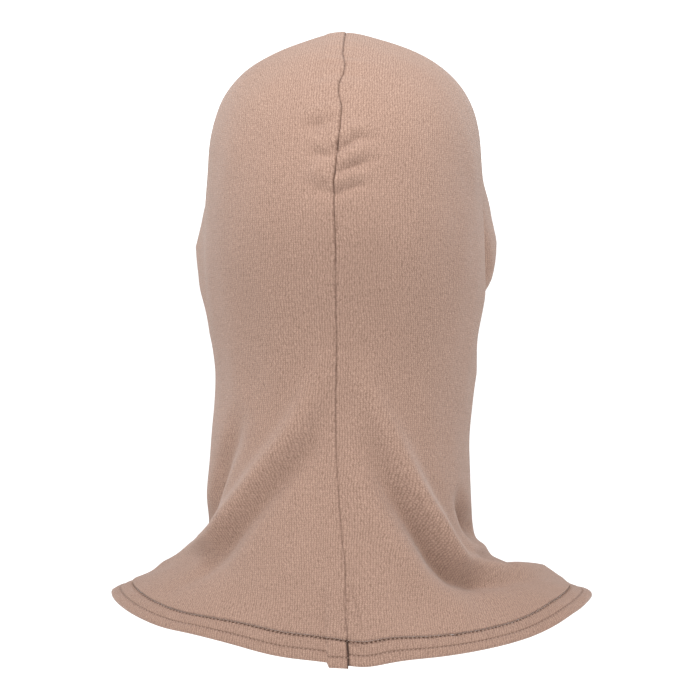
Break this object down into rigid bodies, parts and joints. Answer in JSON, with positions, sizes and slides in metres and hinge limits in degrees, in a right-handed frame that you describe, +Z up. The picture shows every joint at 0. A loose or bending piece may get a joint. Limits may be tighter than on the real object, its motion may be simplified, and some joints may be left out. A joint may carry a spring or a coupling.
{
  "type": "full-cover underscarf hood",
  "caption": "Knit underscarf hood for head, neck and shoulders, with an oval face opening, a seam over the crown and down the back, and a turned hem.",
  "frame": {"origin": "inner face of the crown, where the hood sits on the top of the head", "axes": "+Z up, the face opening looks along -Y, the wearer's left side is +X"},
  "size_m": [0.2679, 0.186, 0.3367],
  "materials": {
    "knit": "matt fine jersey knit, dusty beige",
    "hem_knit": "matt jersey knit turned over once and stitched",
    "seam_knit": "matt jersey seam allowance, overlocked"
  },
  "bodies": {
    "root": {"left_panel": "knit", "right_panel": "knit", "left_hem": "hem_knit", "right_hem": "hem_knit", "face_hem": "hem_knit", "back_seam": "seam_knit", "front_seam": "seam_knit"}
  },
  "joints": []
}
